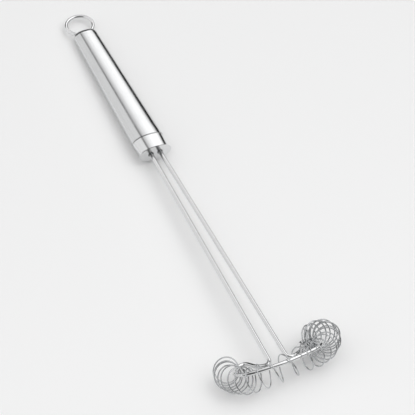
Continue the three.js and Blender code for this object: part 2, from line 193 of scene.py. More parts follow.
class WhiskStageSettings(bpy.types.PropertyGroup):
    floor: colour("Floor", "Colour of the floor", (0.92, 0.92, 0.92))
    background: colour("Background", "Colour seen past the floor", (0.83, 0.83, 0.83))
    sky: FloatProperty(name="Sky", description="Strength of the room's light", default=1.5)
    lamp_power: FloatProperty(name="Lamp power", description="Power in watts", default=7)
    lamp_side: length("Lamp side", "Side of the square lamp", 1800)
    lamp_distance: length("Lamp distance", "From the handle's front face to the lamp", 1200)
    lens: FloatProperty(name="Lens", description="Focal length in millimetres", default=260.74)
    camera_offset: FloatVectorProperty(
        name="Camera offset",
        description="From the middle of the handle's front face to the camera",
        default=(0.94846, -0.39548, 1.13027),
        subtype="TRANSLATION",
        unit="LENGTH",
    )
    azimuth: turn("Azimuth", "Turn of the camera's view round the upright", 65.88)
    elevation: turn("Elevation", "Camera's view below the level", 48.765)
    roll: turn("Roll", "Turn of the camera round its view", 0.483)


class WhiskSettings(bpy.types.PropertyGroup):
    handle: PointerProperty(type=WhiskHandleSizes)
    ring: PointerProperty(type=WhiskRingSizes)
    frame_wire: PointerProperty(type=WhiskFrameWireSizes)
    spring: PointerProperty(type=WhiskSpringSizes)
    finishes: PointerProperty(type=WhiskFinishes)
    stage: PointerProperty(type=WhiskStageSettings)


def settings():
    return bpy.context.scene.whisk


# Curves and places


def mix(low, high, amount):
    return low + (high - low) * amount


def smooth_share(value, low, high):
    """0 up to low, 1 from high on and a smooth step between them."""
    amount = min(1, max(0, (value - low) / (high - low)))
    return amount * amount * (3 - 2 * amount)


def handle_size(back):
    """Half the handle's width and thickness at a distance behind the front face."""
    h = settings().handle
    amount = back / h.length
    half_width = mix(h.front_width, h.tail_width, amount) / 2
    half_thickness = mix(h.front_thickness, h.tail_thickness, amount) / 2
    return half_width, half_thickness


def lowest_back():
    """How far behind the foot of the legs the lower lobe reaches."""
    f = settings().frame_wire
    return f.lobe_setback + f.lobe_radius + f.head_skew * (f.head_width / 2 - f.lobe_radius)


def rest_rise():
    """The rise of the shank of the whisk as it lies on the table."""
    h, f, s = settings().handle, settings().frame_wire, settings().spring
    tail_start = h.length - h.tail_round_length
    run = f.shank + tail_start - lowest_back() * math.cos(f.head_tilt)
    drop = handle_size(tail_start)[1] - lowest_back() * math.sin(f.head_tilt)
    height = s.radius + s.wire / 2 - s.back_lift
    return math.asin(height / math.hypot(run, drop)) - math.atan2(drop, run)


def tool_matrix():
    """Turns a place in the tool frame into one in the part's frame."""
    h = settings().handle
    low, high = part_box("front_cap")
    rise = rest_rise()
    half_thickness = handle_size(h.cap_edge)[1]
    x = high.x - (h.front_thickness / 2 - h.cap_edge) * math.sin(rise)
    y = (low.y + high.y) / 2
    z = high.z - half_thickness * math.cos(rise) + h.cap_edge * math.sin(rise)
    return Matrix.Translation((x, y, z)) @ Matrix.Rotation(-rise, 4, "Y")


def head_point(across, forward):
    """A point of the head's plane: across the tool and forward from the foot of the legs."""
    f = settings().frame_wire
    x = f.shank + forward * math.cos(f.head_tilt)
    return Vector((x, across, forward * math.sin(f.head_tilt)))


def loop_point(across, forward):
    """A point of the loop, which sits off the middle and is skewed in the head's plane."""
    f = settings().frame_wire
    return head_point(across + f.head_shift, forward - f.head_skew * across)


def leg_point(side, ahead):
    """A point of the left leg, side -1, or the right one, side 1, ahead of the front face."""
    f = settings().frame_wire
    spacing = mix(f.spacing_front, f.spacing_head, ahead / f.shank)
    return Vector((ahead, side * spacing / 2, 0))


def loop_arc(side, across, forward, radius, start, end):
    """Points on an arc of the loop. Angles run from straight ahead towards the outside."""
    steps = 40
    points = []
    for i in range(steps + 1):
        angle = mix(start, end, i / steps)
        out = side * (across + radius * math.sin(angle))
        points.append(loop_point(out, forward + radius * math.cos(angle)))
    return points


def rounded_corner(before, corner, after, radius):
    to_before = (before - corner).normalized()
    to_after = (after - corner).normalized()
    bend = math.pi - to_before.angle(to_after)
    reach = radius * math.tan(bend / 2)
    centre = corner + (to_before + to_after).normalized() * radius / math.cos(bend / 2)
    start = corner + to_before * reach - centre
    end = corner + to_after * reach - centre
    steps = 16
    points = []
    for i in range(steps + 1):
        angle = bend * i / steps
        shift = start * math.sin(bend - angle) + end * math.sin(angle)
        points.append(centre + shift / math.sin(bend))
    return points


def bezier(points, steps=40):
    a, b, c, d = points
    curve = []
    for i in range(steps + 1):
        t = i / steps
        curve.append(
            a * (1 - t) ** 3 + b * 3 * t * (1 - t) ** 2 + c * 3 * t * t * (1 - t) + d * t ** 3
        )
    return curve


def half_frame(side):
    """Half of the frame wire, from the middle of the front round the lobe to the wire's tail."""
    f = settings().frame_wire
    lobe_across = f.head_width / 2 - f.lobe_radius
    lobe_back = -f.lobe_setback - f.lobe_radius
    reach = f.front_advance - f.lobe_radius
    front_centre = (lobe_across ** 2 + f.lobe_setback ** 2 - reach ** 2) / (
        2 * (-f.lobe_setback - reach)
    )
    meet = math.atan2(lobe_across, -f.lobe_setback - front_centre)
    front = loop_arc(side, 0, front_centre, f.front_advance - front_centre, 0, meet)
    lobe = loop_arc(side, lobe_across, -f.lobe_setback, f.lobe_radius, meet, math.pi)
    corner = leg_point(side, f.shank)
    shoulder = head_point(side * f.shoulder_spacing / 2, -f.shoulder_setback)
    outwards = (shoulder - corner).normalized()
    sweep = bezier(
        (
            loop_point(side * lobe_across, lobe_back),
            loop_point(side * (lobe_across - f.back_sweep), lobe_back),
            shoulder + outwards * f.shoulder_sweep,
            shoulder,
        )
    )
    tail = leg_point(side, -f.tail)
    leg = rounded_corner(shoulder, corner, tail, f.leg_bend)
    return front[:-1] + lobe[:-1] + sweep + leg + [tail]


def frame_path():
    return list(reversed(half_frame(-1))) + half_frame(1)[1:]


def evenly_spaced(path, step):
    """The path with a point every step along it."""
    reached = [0]
    for a, b in zip(path, path[1:]):
        reached.append(reached[-1] + (b - a).length)
    count = round(reached[-1] / step)
    points = []
    at = 0
    for i in range(count + 1):
        target = reached[-1] * i / count
        while at < len(path) - 2 and reached[at + 1] < target:
            at += 1
        run = reached[at + 1] - reached[at]
        points.append(path[at].lerp(path[at + 1], (target - reached[at]) / run))
    return points


def averaged(values, reach):
    """Each value as the mean of those within a reach of it, in number of points."""
    means = []
    for i in range(len(values)):
        near = values[max(0, i - reach) : i + reach + 1]
        means.append(sum(near, Vector((0, 0, 0))) / len(near))
    return means


def directions(path):
    last = len(path) - 1
    return [(path[min(i + 1, last)] - path[max(i - 1, 0)]).normalized() for i in range(last + 1)]


# Coil spring

# The coil is worked out at steps along the frame wire, and what makes it is averaged over a number
# of steps each way
COIL_STEP = 0.25 * MM
WIRE_AVERAGING = 4
COIL_AVERAGING = 8
# A turn that faces further round than this lies behind its lobe
BEHIND_LOBE = math.radians(60)


def front_middle(path):
    """The number of the path's point in the middle of the head's front."""
    f = settings().frame_wire
    on_head = next(i for i, p in enumerate(path) if p.x > f.shank)
    for i in range(on_head, len(path)):
        ahead = path[i].x - f.shank
        if path[i].y >= 0 and ahead * math.cos(f.head_tilt) + path[i].z * math.sin(f.head_tilt) > 0:
            return i


def side_shares(reached):
    """How much a turn hangs as on the left lobe, as on the right lobe and as at the right end."""
    s = settings().spring
    left = smooth_share(-reached, s.change_left, s.full_left)
    right = smooth_share(reached, s.change_right, s.full_right)
    end = smooth_share(reached, s.end_start, s.end_full)
    return left, right, end


def coil_line(wire, facing, up):
    """The middle line of the coil. Its turns hang on the wire, lie down where they can, stay under
    the top and are pushed out round the lobes. wire has rows of a place, its direction and the
    distance there from the middle of the front."""
    s = settings().spring
    rest_height = head_point(0, -lowest_back()).dot(up) + s.back_lift
    offsets = []
    for (point, along, reached), faced in zip(wire, facing):
        left, right, end = side_shares(reached)
        push = s.push + (s.push_left - s.push) * left + (s.push_right - s.push) * right
        lift = s.lift + (s.lift_left - s.lift) * left + (s.lift_right - s.lift) * right
        upward = (up - along * along.dot(up)).normalized()
        outward = along.cross(upward)
        resting = (rest_height - point.dot(up)) / upward.dot(up)
        standing = s.radius * math.sqrt(1 - faced.dot(up) ** 2)
        highest = (s.top - standing - point.dot(up)) / upward.dot(up)
        lift = min(s.most_lift, highest, max(mix(lift, s.lift_end, end), resting))
        room = math.sqrt(s.play ** 2 - lift ** 2)
        push = min(room, max(-room, mix(push, s.push_end, end)))
        offsets.append(upward * lift + outward * push)
    return [row[0] + offset for row, offset in zip(wire, averaged(offsets, COIL_AVERAGING))]


def turn_directions(wire):
    """The way that each turn's plane faces, along the coil."""
    s = settings().spring
    angles = []
    for _, along, reached in wire:
        left, right, end = side_shares(reached)
        heading = math.atan2(-along.x, along.y)
        if abs(heading) > BEHIND_LOBE and heading * reached < 0:
            heading += math.copysign(2 * math.pi, reached)
        heading += s.lead_right * right - s.lead_left * left
        heading = min(s.last_turn, max(-s.last_turn, heading))
        follow = 1 + (s.follow_left * left if reached < 0 else s.follow_right * right)
        tilt = math.asin(along.z) * follow + s.tilt + s.tilt_left * left + s.tilt_right * right
        angles.append(Vector((heading, tilt, 0)))
    facing = []
    for heading, tilt, _ in averaged(angles, COIL_AVERAGING):
        level = math.cos(tilt)
        facing.append(
            Vector((-math.sin(heading) * level, math.cos(heading) * level, math.sin(tilt)))
        )
    return facing


def coil_turns(line, wire, inwards):
    """How many turns the spring has made at each point of its middle line."""
    s = settings().spring
    outside = [p - side * s.radius for p, side in zip(line, inwards)]
    turns = [0]
    for i in range(1, len(line)):
        reached = wire[i][2]
        left = reached < 0
        close = s.close_left if left else s.close_right
        stretch = s.stretch_left if left else s.stretch_right
        pitch = mix(s.wide_pitch, close, smooth_share(abs(reached), s.wide_reach, stretch))
        step = max((line[i] - line[i - 1]).length, (outside[i] - outside[i - 1]).length)
        turns.append(turns[-1] + step / pitch)
    middle = next(i for i, row in enumerate(wire) if row[2] >= 0)
    return [t - turns[middle] + s.phase for t in turns]


def coil_points():
    """Points of the coil's middle line, evenly spaced in turns, with what winds them."""
    s = settings().spring
    rise = rest_rise()
    up = Vector((-math.sin(rise), 0, math.cos(rise)))
    path = evenly_spaced(frame_path(), COIL_STEP)
    middle = front_middle(path)
    along = [d.normalized() for d in averaged(directions(path), WIRE_AVERAGING)]
    rows = [(p, a, (i - middle) * COIL_STEP) for i, (p, a) in enumerate(zip(path, along))]
    wire = [row for row in rows if -s.left_end <= row[2] <= s.right_end]
    facing = turn_directions(wire)
    line = coil_line(wire, facing, up)
    inwards = [up.cross(direction).normalized() for direction in facing]
    turns = coil_turns(line, wire, inwards)
    points = []
    wanted = math.ceil(turns[0] * s.steps)
    for i in range(1, len(line)):
        while turns[i] * s.steps >= wanted:
            made = wanted / s.steps
            amount = (made - turns[i - 1]) / (turns[i] - turns[i - 1])
            nested = smooth_share(abs(wire[i][2]), s.nesting_start, s.nesting_full)
            points.append(
                {
                    "place": line[i - 1].lerp(line[i], amount),
                    "turn": made,
                    "along": facing[i - 1].lerp(facing[i], amount).normalized(),
                    "inwards": inwards[i - 1].lerp(inwards[i], amount).normalized(),
                    "swell": s.nesting * nested * math.cos(math.pi * made),
                }
            )
            wanted += 1
    return points


# Node trees


def shared_group(name, kind, fill):
    """The node group of that name, which is made and filled on first use."""
    tree = bpy.data.node_groups.get(name)
    if tree is None:
        tree = bpy.data.node_groups.new(name, kind)
        fill(tree)
    return tree


def add_node(tree, kind, inputs=None, **values):
    """Adds a node with its values, and sets each input or links a socket to it."""
    node = tree.nodes.new(kind)
    for name, value in values.items():
        setattr(node, name, value)
    for name, value in (inputs or {}).items():
        if isinstance(value, bpy.types.NodeSocket):
            tree.links.new(value, node.inputs[name])
        else:
            node.inputs[name].default_value = value
    return node


def add_socket(tree, name, way, kind, default=None, subtype=None):
    socket = tree.interface.new_socket(name=name, in_out=way, socket_type=kind)
    if subtype:
        socket.subtype = subtype
    if default is not None:
        socket.default_value = default


def math_node(tree, operation, first, second=None):
    inputs = {0: first} if second is None else {0: first, 1: second}
    return add_node(tree, "ShaderNodeMath", inputs, operation=operation).outputs[0]


def vector_math(tree, operation, first, second):
    node = add_node(tree, "ShaderNodeVectorMath", {0: first, 1: second}, operation=operation)
    return node.outputs["Value" if operation == "DOT_PRODUCT" else "Vector"]


def scaled(tree, vector, amount):
    node = add_node(
        tree, "ShaderNodeVectorMath", {0: vector, "Scale": amount}, operation="SCALE"
    )
    return node.outputs[0]


def map_range(tree, value, low, high, to_low=0.0, to_high=1.0, step="LINEAR"):
    """Stretches low to high over to_low to to_high and holds the value at both ends."""
    inputs = {
        "Value": value,
        "From Min": low,
        "From Max": high,
        "To Min": to_low,
        "To Max": to_high,
    }
    return add_node(tree, "ShaderNodeMapRange", inputs, interpolation_type=step).outputs[0]


def noise(tree, place, scale, detail=2.0):
    inputs = {"Vector": place, "Scale": scale, "Detail": detail}
    return add_node(tree, "ShaderNodeTexNoise", inputs).outputs["Fac"]


def wire_body(tree, line, source):
    """Adds the nodes that make a line of points a round wire, with its place values and its
    material, and hand it on to the tree's output."""
    curve = add_node(tree, "GeometryNodeMeshToCurve", {"Mesh": line}).outputs["Curve"]
    radius = math_node(tree, "MULTIPLY", source.outputs["Diameter"], 0.5)
    profile = add_node(
        tree,
        "GeometryNodeCurvePrimitiveCircle",
        {"Resolution": source.outputs["Sides"], "Radius": radius},
    )
    parameter = add_node(tree, "GeometryNodeSplineParameter")
    angle = math_node(tree, "MULTIPLY", parameter.outputs["Factor"], 2 * math.pi)
    reach = add_node(tree, "GeometryNodeCaptureAttribute", {"Geometry": curve}, domain="POINT")
    reach.capture_items.new("FLOAT", "Reach")
    tree.links.new(parameter.outputs["Length"], reach.inputs["Reach"])
    round_it = add_node(
        tree,
        "GeometryNodeCaptureAttribute",
        {"Geometry": profile.outputs["Curve"]},
        domain="POINT",
    )
    round_it.capture_items.new("FLOAT", "Angle")
    tree.links.new(angle, round_it.inputs["Angle"])
    body = add_node(
        tree,
        "GeometryNodeCurveToMesh",
        {
            "Curve": reach.outputs["Geometry"],
            "Profile Curve": round_it.outputs["Geometry"],
            "Fill Caps": True,
        },
    )
    cosine = math_node(tree, "COSINE", round_it.outputs["Angle"])
    sine = math_node(tree, "SINE", round_it.outputs["Angle"])
    place = add_node(
        tree,
        "ShaderNodeCombineXYZ",
        {
            "X": reach.outputs["Reach"],
            "Y": math_node(tree, "MULTIPLY", cosine, radius),
            "Z": math_node(tree, "MULTIPLY", sine, radius),
        },
    )
    stored = add_node(
        tree,
        "GeometryNodeStoreNamedAttribute",
        {"Geometry": body.outputs["Mesh"], "Name": "wire_place", "Value": place.outputs[0]},
        data_type="FLOAT_VECTOR",
        domain="POINT",
    )
    real = add_node(
        tree, "GeometryNodeRealizeInstances", {"Geometry": stored.outputs["Geometry"]}
    )
    finished = add_node(
        tree,
        "GeometryNodeSetMaterial",
        {"Geometry": real.outputs["Geometry"], "Material": source.outputs["Material"]},
    )
    add_node(tree, "NodeGroupOutput", {"Wire": finished.outputs["Geometry"]})


def wire_sockets(tree):
    add_socket(tree, "Line", "INPUT", "NodeSocketGeometry")
    add_socket(tree, "Diameter", "INPUT", "NodeSocketFloat", 2 * MM, "DISTANCE")
    add_socket(tree, "Sides", "INPUT", "NodeSocketInt", 16)
    add_socket(tree, "Material", "INPUT", "NodeSocketMaterial")
    add_socket(tree, "Wire", "OUTPUT", "NodeSocketGeometry")


def fill_wire_tree(tree):
    """Makes a round wire with flat ends along a line of points."""
    wire_sockets(tree)
    source = add_node(tree, "NodeGroupInput")
    wire_body(tree, source.outputs["Line"], source)


def wire_tree():
    return shared_group("Wire along a line", "GeometryNodeTree", fill_wire_tree)


def named_value(tree, name, kind):
    return add_node(
        tree, "GeometryNodeInputNamedAttribute", {"Name": name}, data_type=kind
    ).outputs["Attribute"]


def fill_coil_tree(tree):
    """Winds a wire round a line, by the turns that each point has made."""
    wire_sockets(tree)
    add_socket(tree, "Coil radius", "INPUT", "NodeSocketFloat", 6 * MM, "DISTANCE")
    source = add_node(tree, "NodeGroupInput")
    angle = math_node(tree, "MULTIPLY", named_value(tree, "turn", "FLOAT"), 2 * math.pi)
    sine = math_node(tree, "SINE", angle)
    along = named_value(tree, "along", "FLOAT_VECTOR")
    inwards = named_value(tree, "inwards", "FLOAT_VECTOR")
    upwards = vector_math(tree, "CROSS_PRODUCT", along, inwards)
    outwards = scaled(tree, inwards, math_node(tree, "MULTIPLY", sine, -1))
    cosine = math_node(tree, "COSINE", angle)
    rim = vector_math(tree, "ADD", scaled(tree, upwards, cosine), outwards)
    swell = named_value(tree, "swell", "FLOAT")
    reach = math_node(tree, "ADD", source.outputs["Coil radius"], swell)
    wound = add_node(
        tree,
        "GeometryNodeSetPosition",
        {"Geometry": source.outputs["Line"], "Offset": scaled(tree, rim, reach)},
    )
    wire_body(tree, wound.outputs["Geometry"], source)


def add_object(name, data):
    added = bpy.data.objects.new(name, data)
    bpy.context.scene.collection.objects.link(added)
    return added


def finished_mesh(piece):
    """The piece's mesh with its modifiers run."""
    bpy.context.view_layer.update()
    evaluated = piece.evaluated_get(bpy.context.evaluated_depsgraph_get())
    return bpy.data.meshes.new_from_object(evaluated)


def line_object(name, points, closed=False):
    """A line of points in the part's frame, as a mesh of edges."""
    edges = [(i, i + 1) for i in range(len(points) - 1)]
    if closed:
        edges.append((len(points) - 1, 0))
    mesh = bpy.data.meshes.new(name)
    mesh.from_pydata(points, edges, [])
    return add_object(name, mesh)


def grow(line, tree, values):
    """Runs the tree on the line and keeps the result as a plain mesh."""
    modifier = line.modifiers.new("Build", "NODES")
    modifier.node_group = tree
    for item in tree.interface.items_tree:
        if item.item_type == "SOCKET" and item.in_out == "INPUT" and item.name in values:
            modifier[item.identifier] = values[item.name]
    mesh = finished_mesh(line)
    line.modifiers.remove(modifier)
    line.data = mesh
    mesh.name = line.name
    smooth(mesh)
    return line


def smooth(mesh):
    for polygon in mesh.polygons:
        polygon.use_smooth = True
    mesh.set_sharp_from_angle(angle=SHARP_EDGE)


# Handle shapes


def oval(back, half_width, half_thickness, sides=128):
    """An oval ring of points across the tool, running so that front-to-tail rings face out."""
    power = 2 / settings().handle.oval_power
    points = []
    for i in range(sides):
        angle = 2 * math.pi * i / sides
        c, s = math.cos(angle), math.sin(angle)
        y = half_width * math.copysign(abs(c) ** power, c)
        z = -half_thickness * math.copysign(abs(s) ** power, s)
        points.append(Vector((-back, y, z)))
    return points


def handle_oval(back, inset=0.0):
    half_width, half_thickness = handle_size(back)
    return oval(back, half_width - inset, half_thickness - inset)


def rounded_edge(back, way, radius, inset=0.0, steps=5):
    """Rings over an edge of the handle, from its face out to its side. way is 1 for a face that
    looks forward and -1 for one that looks back."""
    rings = []
    for i in range(steps + 1):
        angle = math.pi / 2 * i / steps
        drawn_in = radius * (1 - math.cos(angle))
        shift = way * radius * math.sin(angle)
        rings.append(handle_oval(back + shift, inset + drawn_in))
    return rings


def tail_rings(inset, steps=14):
    """Rings over the rounded tail, from its start to its flat end, inside the skin by an inset."""
    h = settings().handle
    start = h.length - h.tail_round_length
    half_width, half_thickness = handle_size(start)
    rings = []
    for i in range(steps + 1):
        angle = math.pi / 2 * i / steps
        drawn_in = 1 - math.cos(angle)
        rings.append(
            oval(
                start + (h.tail_round_length - inset) * math.sin(angle),
                half_width - inset - h.tail_round_side * drawn_in,
                half_thickness - inset - h.tail_round_top * drawn_in,
            )
        )
    return rings


def skin(name, rings, material):
    """A closed skin over rings of points, placed in the part's frame."""
    matrix = tool_matrix()
    sides = len(rings[0])
    points = [matrix @ p for ring in rings for p in ring]
    faces = []
    for i in range(len(rings) - 1):
        for j in range(sides):
            a = i * sides + j
            b = i * sides + (j + 1) % sides
            faces.append((a, b, b + sides, a + sides))
    last = (len(rings) - 1) * sides
    faces.append(tuple(reversed(range(sides))))
    faces.append(tuple(range(last, last + sides)))
    mesh = bpy.data.meshes.new(name)
    mesh.from_pydata(points, [], faces)
    mesh.materials.append(material)
    return add_object(name, mesh)


def cut(piece, tools):
    """Cuts every tool out of the piece and deletes the tools."""
    for tool in tools:
        modifier = piece.modifiers.new("Cut", "BOOLEAN")
        modifier.operation = "DIFFERENCE"
        modifier.solver = "EXACT"
        modifier.object = tool
    mesh = finished_mesh(piece)
    piece.modifiers.clear()
    piece.data = mesh
    for tool in tools:
        bpy.data.objects.remove(tool)
    smooth(mesh)


def ring_line(name):
    """The middle line of the hanging ring."""
    h, r = settings().handle, settings().ring
    matrix = tool_matrix()
    centre = Vector((-h.length - r.standout, 0, 0))
    steps = 128
    points = []
    for i in range(steps):
        angle = 2 * math.pi * i / steps
        rim = Vector((math.cos(angle), math.sin(angle), 0)) * r.radius
        points.append(matrix @ (centre + rim))
    return line_object(name, points, closed=True)


def dress(piece, node):
    """Puts the piece in its body, in the place of its CAD node."""
    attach(piece, "root")
    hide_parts(node)


# Finishes


def fill_grain(tree):
    """Fine lines left by brushing or drawing, stretched along the first axis of the place."""
    add_socket(tree, "Place", "INPUT", "NodeSocketVector")
    add_socket(tree, "Line spacing", "INPUT", "NodeSocketFloat", 0.2 * MM)
    add_socket(tree, "Line length", "INPUT", "NodeSocketFloat", 12 * MM)
    add_socket(tree, "Grain", "OUTPUT", "NodeSocketFloat")
    add_socket(tree, "Bands", "OUTPUT", "NodeSocketFloat")
    source = add_node(tree, "NodeGroupInput")
    across = math_node(tree, "DIVIDE", 1.0, source.outputs["Line spacing"])
    along = math_node(tree, "DIVIDE", 1.0, source.outputs["Line length"])
    scale = add_node(tree, "ShaderNodeCombineXYZ", {"X": along, "Y": across, "Z": across})
    place = vector_math(tree, "MULTIPLY", source.outputs["Place"], scale.outputs[0])
    add_node(
        tree,
        "NodeGroupOutput",
        {"Grain": noise(tree, place, 1.0, 3.0), "Bands": noise(tree, place, 0.17)},
    )


def fill_marks(tree):
    """Soft finger marks and sparse hair scratches from use."""
    add_socket(tree, "Place", "INPUT", "NodeSocketVector")
    add_socket(tree, "Smudge size", "INPUT", "NodeSocketFloat", 9 * MM)
    add_socket(tree, "Scratch width", "INPUT", "NodeSocketFloat", 0.12 * MM)
    add_socket(tree, "Smudges", "OUTPUT", "NodeSocketFloat")
    add_socket(tree, "Scratches", "OUTPUT", "NodeSocketFloat")
    source = add_node(tree, "NodeGroupInput")
    smudge_scale = math_node(tree, "DIVIDE", 1.0, source.outputs["Smudge size"])
    soft = noise(tree, source.outputs["Place"], smudge_scale, 4.0)
    scratch_scale = math_node(tree, "DIVIDE", 1.0, source.outputs["Scratch width"])
    scratches = []
    for degrees, offset in ((24, 0.3), (-37, 1.7)):
        turned = add_node(
            tree,
            "ShaderNodeMapping",
            {
                "Vector": source.outputs["Place"],
                "Location": (offset, offset, 0),
                "Rotation": (0, 0, math.radians(degrees)),
                "Scale": (0.03, 1, 1),
            },
        )
        thin = noise(tree, turned.outputs[0], scratch_scale, 1.0)
        scratches.append(map_range(tree, thin, 0.7, 0.76))
    add_node(
        tree,
        "NodeGroupOutput",
        {
            "Smudges": map_range(tree, soft, 0.48, 0.72),
            "Scratches": math_node(tree, "MAXIMUM", *scratches),
        },
    )


def new_material(name):
    """A new material with its node tree and its shader."""
    material = bpy.data.materials.new(name)
    material.use_nodes = True
    return material, material.node_tree, material.node_tree.nodes["Principled BSDF"]


# Each steel's roughness, and how its fine lines change it. The lines' spacing, reach and depth are
# in millimetres
STEELS = {
    "satin_steel": {"roughness": 0.14, "change": 0.05, "spacing": 0.16, "reach": 14, "depth": 0.004},
    "polished_steel": {"roughness": 0.12, "change": 0.03, "spacing": 0.2, "reach": 8, "depth": 0.001},
    "ring_steel": {"roughness": 0.05, "change": 0.03, "spacing": 0.15, "reach": 6, "depth": 0.001},
    "frame_steel": {"roughness": 0.04, "change": 0.04, "spacing": 0.2, "reach": 10, "depth": 0.002},
    "spring_steel": {"roughness": 0.1, "change": 0.05, "spacing": 0.1, "reach": 5, "depth": 0.001},
}


def steel(name, base, along_wire=False):
    """A steel whose grain runs along the tool, or along the wire that it is on."""
    finish = STEELS[name]
    material, tree, shader = new_material(name)
    shader.inputs["Metallic"].default_value = 1.0
    place = add_node(tree, "ShaderNodeTexCoord").outputs["Object"]
    grain_place = place
    if along_wire:
        attribute = add_node(tree, "ShaderNodeAttribute", attribute_name="wire_place")
        grain_place = attribute.outputs["Vector"]
    lines = add_node(
        tree,
        "ShaderNodeGroup",
        {
            "Place": grain_place,
            "Line spacing": finish["spacing"] * MM,
            "Line length": finish["reach"] * MM,
        },
        node_tree=shared_group("Drawn grain", "ShaderNodeTree", fill_grain),
    )
    marks = add_node(
        tree,
        "ShaderNodeGroup",
        {"Place": place},
        node_tree=shared_group("Marks of use", "ShaderNodeTree", fill_marks),
    )
    tone = map_range(tree, lines.outputs["Bands"], 0, 1, 0.93, 1.05)
    tree.links.new(scaled(tree, tuple(base), tone), shader.inputs["Base Color"])
    low = finish["roughness"] - finish["change"]
    high = finish["roughness"] + finish["change"]
    from_lines = map_range(tree, lines.outputs["Grain"], 0.3, 0.7, low, high)
    from_smudges = math_node(tree, "MULTIPLY", marks.outputs["Smudges"], 0.05)
    from_scratches = math_node(tree, "MULTIPLY", marks.outputs["Scratches"], 0.12)
    wear = math_node(tree, "ADD", from_smudges, from_scratches)
    tree.links.new(math_node(tree, "ADD", from_lines, wear), shader.inputs["Roughness"])
    worn = math_node(tree, "MULTIPLY", wear, 2.0)
    height = math_node(tree, "SUBTRACT", lines.outputs["Grain"], worn)
    bump = add_node(
        tree,
        "ShaderNodeBump",
        {"Strength": 0.5, "Distance": finish["depth"] * MM, "Height": height},
    )
    tree.links.new(bump.outputs[0], shader.inputs["Normal"])
    return material


def plug_plastic(name, base):
    """A moulded plastic with a fine pebble texture."""
    material, tree, shader = new_material(name)
    place = add_node(tree, "ShaderNodeTexCoord").outputs["Object"]
    pebbles = noise(tree, place, 3000.0)
    tone = map_range(tree, pebbles, 0, 1, 0.8, 1.2)
    tree.links.new(scaled(tree, tuple(base), tone), shader.inputs["Base Color"])
    tree.links.new(map_range(tree, pebbles, 0, 1, 0.5, 0.7), shader.inputs["Roughness"])
    bump = add_node(
        tree, "ShaderNodeBump", {"Strength": 0.4, "Distance": 0.05 * MM, "Height": pebbles}
    )
    tree.links.new(bump.outputs[0], shader.inputs["Normal"])
    return material


# Operators


class WHISK_OT_handle_tube(bpy.types.Operator):
    """Makes the satin steel tube of the handle, with its rounded tail and the ring's holes."""

    bl_idname = "whisk.handle_tube"
    bl_label = "Handle tube"

    def execute(self, context):
        h, r = settings().handle, settings().ring
        satin = steel("satin_steel", settings().finishes.satin)
        front = h.cap_length + h.seam
        lip = rounded_edge(front, 1, h.lip)
        bore = [handle_oval(front + h.lip, h.wall), handle_oval(front, h.wall - h.lip)]
        steps = 24
        side_end = h.length - h.tail_round_length
        side = [handle_oval(mix(front + h.lip, side_end, i / steps)) for i in range(1, steps)]
        inner = list(reversed(tail_rings(h.wall)))
        piece = skin("handle_tube", inner + bore + lip + side + tail_rings(0), satin)
        hole = grow(
            ring_line("ring_hole"),
            wire_tree(),
            {"Diameter": r.wire + 2 * h.hole_gap, "Sides": 24},
        )
        cut(piece, [hole])
        dress(piece, "handle_shell")
        return {"FINISHED"}


class WHISK_OT_front_cap(bpy.types.Operator):
    """Makes the polished cap with its flat face and the holes of the frame wire."""

    bl_idname = "whisk.front_cap"
    bl_label = "Front cap"

    def execute(self, context):
        h, f = settings().handle, settings().frame_wire
        polished = steel("polished_steel", settings().finishes.polished)
        inset = h.wall + h.seam
        neck_end = h.cap_length + h.neck
        front_edge = rounded_edge(0, 1, h.cap_edge)
        back_edge = list(reversed(rounded_edge(h.cap_length, -1, h.lip)))
        neck = [
            handle_oval(h.cap_length, inset),
            handle_oval(neck_end, inset),
            handle_oval(neck_end, inset + h.cap_wall),
            handle_oval(h.cap_face, inset + h.cap_wall),
        ]
        piece = skin("cap", front_edge + back_edge + neck, polished)
        matrix = tool_matrix()
        holes = []
        for side in (-1, 1):
            ends = [matrix @ leg_point(side, ahead) for ahead in (-f.tail, f.tail)]
            hole = grow(
                line_object("wire_hole", ends),
                wire_tree(),
                {"Diameter": f.wire + 2 * h.wire_gap, "Sides": 48},
            )
            holes.append(hole)
        cut(piece, holes)
        dress(piece, "front_cap")
        return {"FINISHED"}


class WHISK_OT_hanging_ring(bpy.types.Operator):
    """Makes the hanging ring from a round wire."""

    bl_idname = "whisk.hanging_ring"
    bl_label = "Hanging ring"

    def execute(self, context):
        bright = steel("ring_steel", settings().finishes.polished, along_wire=True)
        piece = grow(
            ring_line("ring_wire"),
            wire_tree(),
            {"Diameter": settings().ring.wire, "Sides": 32, "Material": bright},
        )
        dress(piece, "hanging_ring")
        return {"FINISHED"}


class WHISK_OT_frame_wire(bpy.types.Operator):
    """Makes the bent frame wire, both legs and the loop of the head, from end to end."""

    bl_idname = "whisk.frame_wire"
    bl_label = "Frame wire"

    def execute(self, context):
        drawn = steel("frame_steel", settings().finishes.drawn, along_wire=True)
        matrix = tool_matrix()
        path = evenly_spaced(frame_path(), 0.4 * MM)
        piece = grow(
            line_object("frame_wire", [matrix @ p for p in path]),
            wire_tree(),
            {"Diameter": settings().frame_wire.wire, "Sides": 32, "Material": drawn},
        )
        dress(piece, "whisk_frame")
        return {"FINISHED"}


